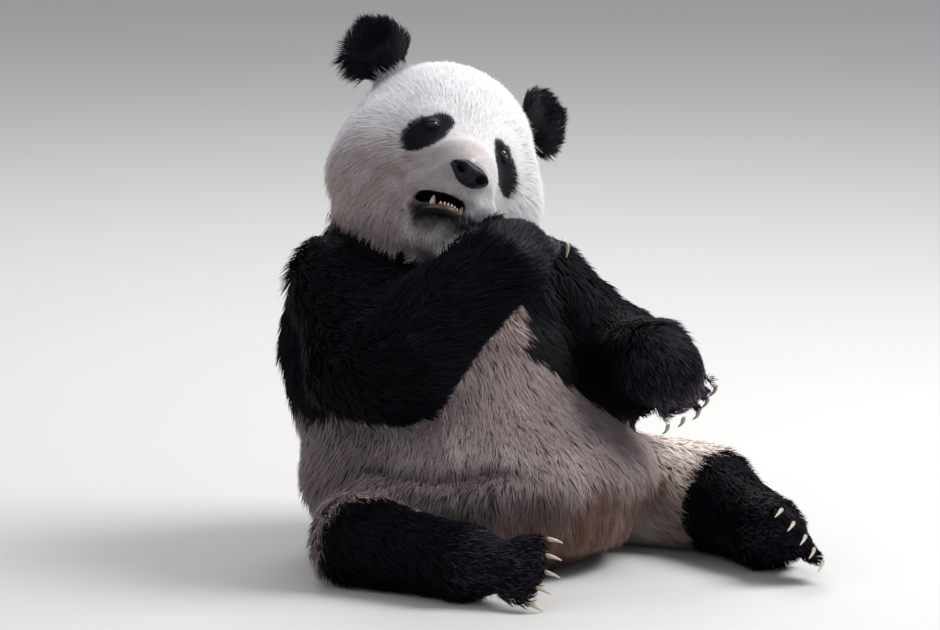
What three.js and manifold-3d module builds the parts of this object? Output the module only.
// A giant panda, life size, sitting on its rump and leaning back, with its right forepaw raised to its open
// mouth and its left forepaw held out over its left thigh. Millimetres, +Z up, floor at Z = 0.
// The panda faces -Y, so its own right side is at -X. Surfaces are those of the coat's tips.
import * as THREE from "three";
import { LoftGeometry } from "three/addons/geometries/LoftGeometry.js";
import { mergeVertices } from "three/addons/utils/BufferGeometryUtils.js";
import Module from "manifold-3d";

// ---------------------------------------------------------------- driving dimensions

const SEAM = 0.35; // gap left between neighbouring parts
const SIDES = ["right", "left"];
const outward = { right: -1, left: 1 }; // sign of X on each side

// Where the joints lie, and the girths there as radii out to the tips of the coat. The muscle and long fur
// behind the upper arm, and the fur that stands up on the raised forearm, are lengths of limb of their own.
const ARMS = {
  right: {
    shoulder: [-150, 146, 366],
    elbow: [-202, -34, 290],
    wrist: [-78, -104, 414],
    girths: [89, 72, 50],
    fur: [
      { from: [-204, 62, 274], to: [-202, -34, 288], girths: [78, 74] },
      { from: [-174, -46, 352], to: [-108, -82, 414], girths: [62, 52] },
    ],
  },
  left: {
    shoulder: [146, 136, 328],
    elbow: [180, -14, 246],
    wrist: [128, -146, 280],
    girths: [89, 74, 58],
    fur: [{ from: [146, 50, 262], to: [180, -14, 246], girths: [78, 74] }],
  },
};
const LEGS = {
  right: { hip: [-106, 92, 92], knee: [-236, -4, 57], ankle: [-204, -174, 50] },
  left: { hip: [108, 66, 98], knee: [276, -84, 66], ankle: [240, -258, 50] },
};
const LEG_GIRTHS = [96, 68, 52];
const PAW_TURNS = {
  forepaw_right: { pointing: [0.67, 0.3, 0.62], back: [-0.52, -0.48, 0.7] },
  forepaw_left: { pointing: [0.34, -0.8, -0.46], back: [-0.25, -0.42, 0.87] },
  hind_foot_right: { pointing: [0.32, -0.94, 0.02], back: [-0.8, -0.28, 0.52] },
  hind_foot_left: { pointing: [-0.26, -0.94, 0.14], back: [0.76, -0.22, 0.6] },
};

// The head: its centre, how it is turned, and places in its own frame (face towards -Y, left towards +X).
const HEAD_CENTRE = new THREE.Vector3(-24, 104, 521);
// It is turned, in degrees, with its chin up, its crown to its left and its face to its right.
const HEAD_TURN = { pitch: -25.5, roll: 27.5, yaw: -14.5 };
const NECK_BASE = [-10, 168, 392];
const NECK_RADIUS = 118;
const EYE = { place: [50, -96, 5], radius: 10 };
const EYE_PATCH = { place: [55, -90, -4], radii: [38, 27, 23], slant: 40 };
const NOSE = { place: [0, -156, -62], radii: [29, 17, 19] };
const EAR = { place: [124, 26, 127], radii: [51, 25, 55], turn: [-10, 36, 37] };
const EAR_BOWL = { place: [0, -22, 0], radii: [33, 15, 34] };
const MOUTH = { place: [-8, -112, -101], radii: [46, 62, 15], slope: 8 };
const TEETH = {
  centre: [-8, -102, -117],
  arch: [25, 38],
  gum: 6,
  // from its right to its left: angle round the arch, height, girth
  row: [[-62, 12, 5], [-34, 15, 4.5], [-12, 10, 3.6], [12, 10, 3.6], [34, 15, 4.5], [62, 12, 5]],
};
const JAW_SEAM_HEIGHT = -106;
const JAW_BACK = -46;

// Paws, in millimetres and degrees: the palm's radii, then the girth, length, spacing and bend of the digits.
const PAWS = {
  fore: { palm: [54, 55, 38], centre: 26, digit: 16, length: 62, start: 48, spread: 21, splay: 7, curl: 84 },
  hind: { palm: [66, 44, 36], centre: 34, digit: 15, length: 46, start: 84, spread: 18, splay: 6, curl: 26 },
};
const DIGITS = [-2, -1, 0, 1, 2];
const DIGIT_SET = { back: 5, up: 4 }; // each further digit starts so far back, and all so far above the palm
const CLAW = { length: 26, radius: 4.4, bend: 62, point: 0.22, root: 0.86, out: 2, up: 0.34 };
const TAIL = { root: [0, 262, 92], tip: [2, 304, 44], girths: [44, 34] };

// The widths over which neighbouring masses flow into each other.
const BLEND = { trunk: 56, nape: 60, throat: 40, skull: 30, face: 28, muzzle: 16, limb: 30 };

const LOOKS = {
  white: { color: 0xe9e1d8, roughness: 0.9 },
  taupe: { color: 0xa69382, roughness: 0.95 },
  black: { color: 0x1b1b20, roughness: 0.85 },
  nose: { color: 0x20222a, roughness: 0.42 },
  eye: { color: 0x120c0a, roughness: 0.08 },
  tooth: { color: 0xe2d9bf, roughness: 0.35 },
  claw: { color: 0xb9ad98, roughness: 0.4 },
};

// ---------------------------------------------------------------- solids and cuts

const wasm = await Module();
wasm.setup();

const SAME_POINT = 1e-3; // corners closer than this are one
const FAR = 3000; // larger than the whole animal

const vec = (p) => (p.isVector3 ? p.clone() : new THREE.Vector3(...p));
const rad = THREE.MathUtils.degToRad;
const turned = (x, y, z, order = "XYZ") =>
  new THREE.Matrix4().makeRotationFromEuler(new THREE.Euler(rad(x), rad(y), rad(z), order));
const moved = (place) => new THREE.Matrix4().makeTranslation(...vec(place).toArray());

// A closed geometry as a solid that can be cut and joined.
function solid(geometry) {
  const bare = new THREE.BufferGeometry();
  bare.setAttribute("position", geometry.attributes.position);
  bare.setIndex(geometry.index);
  const merged = mergeVertices(bare, SAME_POINT);
  return new wasm.Manifold(
    new wasm.Mesh({
      numProp: 3,
      vertProperties: new Float32Array(merged.attributes.position.array),
      triVerts: new Uint32Array(merged.index.array),
    }),
  );
}

// A solid back as a geometry, with shared corners.
function geometryOf(made) {
  const mesh = made.getMesh();
  return new THREE.BufferGeometry()
    .setAttribute("position", new THREE.BufferAttribute(mesh.vertProperties, 3))
    .setIndex(new THREE.BufferAttribute(mesh.triVerts, 1));
}

// Everything beyond a plane, on the side its normal points to, less a given margin.
function beyond({ point, normal }, margin = 0) {
  const block = new THREE.BoxGeometry(FAR, FAR, FAR).translate(0, 0, FAR / 2 + margin);
  const turn = new THREE.Quaternion().setFromUnitVectors(new THREE.Vector3(0, 0, 1), vec(normal).normalize());
  return solid(block.applyQuaternion(turn).translate(...vec(point).toArray()));
}

const flipped = ({ point, normal }) => ({ point, normal: vec(normal).negate() });

// A ball squeezed to three radii, in a frame given by a matrix.
function ball(centre, radii, frame, sides, rings) {
  const geometry = new THREE.SphereGeometry(1, sides, rings);
  return solid(geometry.scale(...radii).translate(...centre).applyMatrix4(frame));
}

// A round bar through frames, with a radius at each; flat ends.
function bar(frames, radii, sides) {
  const sections = frames.map((frame, i) =>
    Array.from({ length: sides }, (_, j) => {
      const turn = (2 * Math.PI * j) / sides;
      return new THREE.Vector3(0, Math.cos(turn) * radii[i], Math.sin(turn) * radii[i]).applyMatrix4(frame);
    }),
  );
  return solid(new LoftGeometry(sections, { capStart: true, capEnd: true }));
}

const FLOOR = beyond({ point: [0, 0, 0], normal: [0, 0, -1] });

// ---------------------------------------------------------------- flesh: masses that flow into each other

// An ellipsoid of flesh, as a distance function.
function mass(centre, radii, frame = new THREE.Matrix4(), turn = new THREE.Matrix4()) {
  const inverse = frame.clone().multiply(moved(centre)).multiply(turn).invert();
  const [rx, ry, rz] = radii;
  return (p) => {
    const q = p.clone().applyMatrix4(inverse);
    const near = Math.hypot(q.x / rx, q.y / ry, q.z / rz);
    const slope = Math.hypot(q.x / rx ** 2, q.y / ry ** 2, q.z / rz ** 2);
    return slope < 1e-9 ? -Math.min(...radii) : (near * (near - 1)) / slope;
  };
}

// A length of limb, thicker at one end than at the other, as a distance function.
function limb(from, to, thickFrom, thickTo) {
  const start = vec(from);
  const along = vec(to).sub(start);
  const length = along.length();
  along.normalize();
  const taper = (thickFrom - thickTo) / length;
  const side = Math.sqrt(1 - taper * taper);
  return (p) => {
    const q = p.clone().sub(start);
    const z = q.dot(along);
    const r = Math.sqrt(Math.max(0, q.lengthSq() - z * z));
    const nearest = z - (r * taper) / side;
    if (nearest < 0) return Math.hypot(r, z) - thickFrom;
    if (nearest > length) return Math.hypot(r, z - length) - thickTo;
    return r * side + z * taper - thickFrom;
  };
}

// Several masses as one, blended over a given width.
function flesh(blend, ...masses) {
  return (p) =>
    masses.reduce((sum, next) => {
      const d = next(p);
      const h = Math.max(blend - Math.abs(sum - d), 0) / blend;
      return Math.min(sum, d) - (h * h * blend) / 4;
    }, Infinity);
}

// How far a ray runs from a point inside the flesh before it leaves it, or a given reach.
const RAY = { steps: 90, stride: 0.8, touch: 0.02 };
function exit(field, from, direction, reach) {
  const p = new THREE.Vector3();
  let run = 0;
  for (let step = 0; step < RAY.steps && run < reach; step++) {
    const depth = -field(p.copy(direction).multiplyScalar(run).add(from));
    if (depth < RAY.touch) return run;
    run += Math.max(depth * RAY.stride, RAY.touch);
  }
  return Math.min(run, reach);
}

// A skin wrapped round a spine: rings of rays across it, and fans of rays over both of its ends.
function wrap(field, spine, { rings, sides, fans = [35, 62], reach = 400, grow = 0, up = [0, 0, 1] }) {
  const curve = new THREE.CatmullRomCurve3(spine.map(vec));
  const ring = (t, lean) => {
    const centre = curve.getPointAt(t);
    const along = curve.getTangentAt(t);
    const across = vec(up).cross(along).normalize();
    const over = along.clone().cross(across);
    return Array.from({ length: sides }, (_, j) => {
      const turn = (2 * Math.PI * j) / sides;
      const direction = across.clone().multiplyScalar(Math.cos(turn)).addScaledVector(over, Math.sin(turn));
      direction.multiplyScalar(Math.cos(lean)).addScaledVector(along, Math.sin(lean));
      return direction.multiplyScalar(exit(field, centre, direction, reach) + grow).add(centre);
    });
  };
  const sections = [
    ...[...fans].reverse().map((angle) => ring(0, -rad(angle))),
    ...Array.from({ length: rings + 1 }, (_, i) => ring(i / rings, 0)),
    ...fans.map((angle) => ring(1, rad(angle))),
  ];
  return solid(new LoftGeometry(sections, { capStart: true, capEnd: true }));
}

// ---------------------------------------------------------------- the masses of the head, in its own frame

const HEAD = turned(HEAD_TURN.pitch, HEAD_TURN.roll, HEAD_TURN.yaw, "ZXY").setPosition(HEAD_CENTRE);
const inHead = (point) => vec(point).applyMatrix4(HEAD);
const headWay = (direction) => vec(direction).transformDirection(HEAD);
const headMass = (centre, radii, tilt = 0) => mass(centre, radii, HEAD, turned(tilt, 0, 0));
const bothSides = (make) => SIDES.map((side) => make(outward[side]));

const skull = flesh(
  BLEND.skull,
  headMass([0, 18, 32], [122, 118, 112]), // cranium with its high crest
  ...bothSides((s) => headMass([s * 80, 2, -34], [72, 92, 84])), // chewing muscles that make the face round
  headMass([0, -62, 8], [80, 50, 54]), // brow and the bases of the eyes
  headMass([0, -28, -82], [80, 84, 62]), // throat
);
const muzzle = flesh(
  BLEND.muzzle,
  headMass([0, -101, -48], [51, 62, 45], -10), // bridge
  headMass([0, -84, -22], [42, 38, 34]), // between the eyes
  headMass([0, -134, -78], [41, 32, 27]), // lip pads under the nose
  ...bothSides((s) => headMass([s * 26, -108, -84], [30, 44, 26])), // hanging upper lips
);
const chin = headMass([0, -86, -128], [46, 58, 30], 10);
const headFlesh = flesh(BLEND.face, skull, muzzle, chin);

// ---------------------------------------------------------------- the masses of the trunk and the neck

const trunkFlesh = flesh(
  BLEND.trunk,
  mass([0, 76, 112], [236, 208, 122]), // rump and haunches
  mass([0, 8, 108], [216, 206, 120]), // belly, spread over the thighs
  mass([-4, 112, 214], [204, 186, 138]), // midriff
  mass([-6, 150, 306], [182, 152, 140]), // chest
  ...bothSides((s) => mass([s * 112 - 4, 172, 286], [102, 112, 118])), // shoulder blades
  mass([-8, 186, 362], [132, 112, 84]), // withers
);
const neckFlesh = limb(NECK_BASE, inHead([0, 36, -30]), NECK_RADIUS, NECK_RADIUS);
const bodyFlesh = flesh(BLEND.throat, flesh(BLEND.nape, trunkFlesh, neckFlesh), headFlesh);

// ---------------------------------------------------------------- trunk, shoulders, neck and head

const neckSeam = { point: [-10, 160, 424], normal: [0, -0.26, 0.96] };
const headSeam = { point: inHead([0, 60, -62]), normal: headWay([0, -0.74, 0.67]) };
const yokeSeam = { point: [0, 150, 262], normal: [0, 0.3, 0.95] }; // lower edge of the band over the back

const trunkShape = (grow) =>
  wrap(bodyFlesh, [[0, 46, 62], [0, 84, 180], [-6, 138, 300], [-8, 162, 396]], {
    rings: 9,
    sides: 24,
    fans: [20, 42, 66],
    reach: 330,
    grow,
    up: [0, 1, 0],
  });
const neckShape = (grow) =>
  wrap(bodyFlesh, [[-8, 164, 372], [-12, 140, 430], [-18, 122, 488]], {
    rings: 4,
    sides: 18,
    fans: [30],
    reach: 176,
    grow,
    up: [0, 1, 0],
  });
const headShape = (grow) =>
  wrap(bodyFlesh, [inHead([0, 12, -8]), inHead([0, -26, -26])], {
    rings: 1,
    sides: 28,
    fans: [15, 27, 36, 44, 52, 61, 72],
    reach: 190,
    grow,
    up: headWay([0, 0, 1]),
  });

// Cuts can leave loose crumbs: a part is the biggest piece of what was cut.
const bigger = (one, other) => (other.volume() > one.volume() ? other : one);
const biggest = (made) => made.decompose().reduce(bigger);

const parts = new Map(); // what each part is made of and how it looks, by name
const put = (name, made, look) => parts.set(name, { made: biggest(made), look });

const trunkGrown = trunkShape(SEAM).subtract(beyond(neckSeam));
const torso = trunkShape(0).subtract(FLOOR).subtract(beyond(neckSeam, -SEAM / 2));
put("trunk", torso.subtract(beyond(yokeSeam, -SEAM / 2)), "taupe");
put("shoulders", torso.subtract(beyond(flipped(yokeSeam), -SEAM / 2)), "black");
const belowNeck = beyond(flipped(neckSeam), -SEAM / 2);
put("neck", neckShape(0).subtract(belowNeck).subtract(beyond(headSeam, -SEAM / 2)), "white");

const headGrown = headShape(SEAM);
const mouthFrame = HEAD.clone().multiply(moved(MOUTH.place)).multiply(turned(MOUTH.slope, 0, 0));
const mouthGap = ball([0, 0, 0], MOUTH.radii, mouthFrame, 12, 6);
const jawTop = { point: inHead([0, JAW_BACK, JAW_SEAM_HEIGHT]), normal: headWay([0, 0.1, -1]) };
const jawBack = { point: inHead([0, JAW_BACK, JAW_SEAM_HEIGHT]), normal: headWay([0, -1, 0]) };
const jawRoom = (margin) => beyond(jawTop, margin).intersect(beyond(jawBack, margin));
const skullAndFace = headShape(0)
  .subtract(beyond(flipped(headSeam), -SEAM / 2))
  .subtract(belowNeck)
  .subtract(mouthGap);

const eyePlace = (s) => [s * EYE.place[0], EYE.place[1], EYE.place[2]];
const eyeBall = (s, grow) => ball(eyePlace(s), Array(3).fill(EYE.radius + grow), HEAD, 8, 5);
const noseBall = (grow) => ball(NOSE.place, NOSE.radii.map((r) => r + grow), HEAD, 10, 6);
const patchFrame = (s) =>
  HEAD.clone()
    .multiply(moved([s * EYE_PATCH.place[0], EYE_PATCH.place[1], EYE_PATCH.place[2]]))
    .multiply(turned(0, s * EYE_PATCH.slant, 0));
const patchBall = (s, grow) => ball([0, 0, 0], EYE_PATCH.radii.map((r) => r + grow), patchFrame(s), 8, 5);
const earFrame = (s) =>
  HEAD.clone()
    .multiply(moved([s * EAR.place[0], EAR.place[1], EAR.place[2]]))
    .multiply(turned(EAR.turn[0], s * EAR.turn[1], s * EAR.turn[2], "ZXY"));

// The lower row: a ridge of gum along the jaw with its teeth, the two canines standing highest.
const jawArch = (turn) => [
  TEETH.centre[0] + TEETH.arch[0] * Math.sin(turn),
  TEETH.centre[1] - TEETH.arch[1] * Math.cos(turn),
  TEETH.centre[2],
];
function lowerTeeth(grow) {
  const frames = Array.from({ length: 5 }, (_, i) => {
    const turn = rad(-90 + 45 * i);
    return HEAD.clone().multiply(moved(jawArch(turn))).multiply(new THREE.Matrix4().makeRotationZ(turn));
  });
  let row = bar(frames, Array(5).fill(TEETH.gum + grow), 4);
  for (const [angle, height, girth] of TEETH.row) {
    const tooth = new THREE.CylinderGeometry(girth * 0.45, girth, height, 4, 1).rotateX(Math.PI / 2);
    tooth.translate(0, 0, height / 2).applyMatrix4(moved(jawArch(rad(angle)))).applyMatrix4(HEAD);
    row = row.add(solid(tooth));
  }
  return row;
}

let face = skullAndFace.subtract(jawRoom(-SEAM)).subtract(noseBall(SEAM));
for (const side of SIDES) {
  const s = outward[side];
  const patch = skullAndFace.intersect(patchBall(s, 0)).subtract(eyeBall(s, SEAM));
  face = face.subtract(patchBall(s, SEAM));
  put(`eye_patch_${side}`, patch, "black");
  put(`eye_${side}`, eyeBall(s, 0), "eye");
  const flap = ball([0, 0, 0], EAR.radii, earFrame(s), 12, 7);
  const bowl = ball(EAR_BOWL.place, EAR_BOWL.radii, earFrame(s), 8, 5);
  put(`ear_${side}`, flap.subtract(bowl).subtract(headGrown), "black");
}
put("head", face, "white");
put("lower_jaw", skullAndFace.intersect(jawRoom(0)).subtract(lowerTeeth(SEAM)), "white");
put("lower_teeth", lowerTeeth(0), "tooth");
put("nose", noseBall(0), "nose");

// ---------------------------------------------------------------- limbs

// A frame for a paw, from where it begins, where it points and where its back faces.
function pawFrame(place, pointing, back) {
  const x = vec(pointing).normalize();
  const y = vec(back).cross(x).normalize();
  return new THREE.Matrix4().makeBasis(x, y, x.clone().cross(y)).setPosition(...vec(place).toArray());
}

// The frame at a share of the way along a digit, which bends towards the palm.
function digitFrame(plan, digit, share, frame) {
  const bend = rad(plan.curl) * share;
  const arc = plan.length / rad(plan.curl);
  return frame
    .clone()
    .multiply(moved([plan.start - DIGIT_SET.back * Math.abs(digit), digit * plan.spread, DIGIT_SET.up]))
    .multiply(turned(0, 0, digit * plan.splay))
    .multiply(moved([arc * Math.sin(bend), 0, -arc * (1 - Math.cos(bend))]))
    .multiply(new THREE.Matrix4().makeRotationY(bend));
}

// Digits as their girth runs from the palm to the tip.
const DIGIT_SHAPE = [[-0.2, 1], [0.8, 0.96], [1.06, 0.45]];

const digitShape = (plan, digit, frame) =>
  bar(
    DIGIT_SHAPE.map(([share]) => digitFrame(plan, digit, share, frame)),
    DIGIT_SHAPE.map(([, girth]) => girth * plan.digit),
    5,
  );

// One claw: a horn that curves and narrows, rooted in the upper side of its digit.
function clawShape(plan, digit, frame, grow) {
  const root = digitFrame(plan, digit, CLAW.root, frame).multiply(moved([CLAW.out, 0, plan.digit * CLAW.up]));
  const arc = CLAW.length / rad(CLAW.bend);
  const stations = [0, 0.5, 1];
  const frames = stations.map((share) => {
    const bend = rad(CLAW.bend) * share;
    const place = [arc * Math.sin(bend), 0, -arc * (1 - Math.cos(bend))];
    return root.clone().multiply(moved(place)).multiply(new THREE.Matrix4().makeRotationY(bend));
  });
  const radii = stations.map((share) => CLAW.radius * THREE.MathUtils.lerp(1, CLAW.point, share) + grow);
  return bar(frames, radii, 5);
}

// The plane that halves a bend.
function bendSeam(before, joint, onward) {
  const into = vec(joint).sub(vec(before)).normalize();
  return { point: vec(joint), normal: into.add(vec(onward).normalize()) };
}

// Rays reach this far out of a limb's spine: in girths along its two lengths, and in millimetres at the paw.
const REACH = { upper: 1.7, lower: 1.5, paw: 84 };
const RINGS_FACE = [0.24, 0.31, 0.92]; // no limb runs along this, so its rings are laid out from it

// A limb as three parts: the first from its root to the bend, the second on to the paw, and the paw.
function addLimb({ joints, girths, extra = [], plan, names, looks, taken }) {
  const [root, middle, end] = joints;
  const { pointing, back } = PAW_TURNS[names[2]];
  const frame = pawFrame(end, pointing, back);
  const field = flesh(
    BLEND.limb,
    limb(root, middle, girths[0], girths[1]),
    limb(middle, end, girths[1], girths[2]),
    mass([plan.centre, 0, 0], plan.palm, frame),
    ...extra,
  );
  const bend = bendSeam(root, middle, vec(end).sub(vec(middle)));
  const wrist = bendSeam(middle, end, pointing);
  const trim = (made) => taken.reduce((left, other) => left.subtract(other), made);
  const round = { sides: 14, up: RINGS_FACE };
  const upper = wrap(field, [root, middle], { ...round, rings: 3, reach: girths[0] * REACH.upper });
  const lower = wrap(field, [middle, end], { ...round, rings: 4, reach: girths[1] * REACH.lower });
  const palmEnd = new THREE.Vector3(plan.start, 0, 0).applyMatrix4(frame);
  let paw = wrap(field, [end, palmEnd], { ...round, rings: 1, sides: 11, reach: REACH.paw });
  for (const digit of DIGITS) paw = paw.add(digitShape(plan, digit, frame));
  for (const digit of DIGITS) {
    put(`claw_${names[2]}_${digit + 3}`, trim(clawShape(plan, digit, frame, 0)), "claw");
    paw = paw.subtract(clawShape(plan, digit, frame, SEAM));
  }
  const fromBend = trim(lower).subtract(beyond(flipped(bend), -SEAM / 2));
  put(names[0], trim(upper).subtract(beyond(bend, -SEAM / 2)), looks[0]);
  put(names[1], fromBend.subtract(beyond(wrist, -SEAM / 2)), looks[1]);
  put(names[2], trim(paw).subtract(beyond(flipped(wrist), -SEAM / 2)), looks[1]);
}

for (const side of SIDES) {
  const { shoulder, elbow, wrist, girths, fur } = ARMS[side];
  addLimb({
    joints: [shoulder, elbow, wrist],
    girths,
    extra: fur.map((length) => limb(length.from, length.to, ...length.girths)),
    plan: PAWS.fore,
    names: [`upper_arm_${side}`, `forearm_${side}`, `forepaw_${side}`],
    looks: ["black", "black"],
    taken: [trunkGrown, neckShape(SEAM), headGrown],
  });
  const { hip, knee, ankle } = LEGS[side];
  addLimb({
    joints: [hip, knee, ankle],
    girths: LEG_GIRTHS,
    plan: PAWS.hind,
    names: [`thigh_${side}`, `shank_${side}`, `hind_foot_${side}`],
    looks: ["taupe", "black"],
    taken: [trunkGrown, FLOOR],
  });
}

const tailFlesh = limb(TAIL.root, TAIL.tip, ...TAIL.girths);
const tailShape = wrap(tailFlesh, [TAIL.root, TAIL.tip], { rings: 1, sides: 8, up: [1, 0, 0] });
put("tail", tailShape.subtract(trunkGrown).subtract(FLOOR), "white");

// ---------------------------------------------------------------- the model

const panda = new THREE.Group();
for (const [name, { made, look }] of parts) {
  const material = new THREE.MeshStandardMaterial({ ...LOOKS[look], metalness: 0 });
  const mesh = new THREE.Mesh(geometryOf(made), material);
  mesh.name = name;
  panda.add(mesh);
}

// The origin is on the floor, under the middle of the whole animal.
const middle = new THREE.Box3().setFromObject(panda).getCenter(new THREE.Vector3());
for (const mesh of panda.children) mesh.geometry.translate(-middle.x, -middle.y, 0);

export default panda;
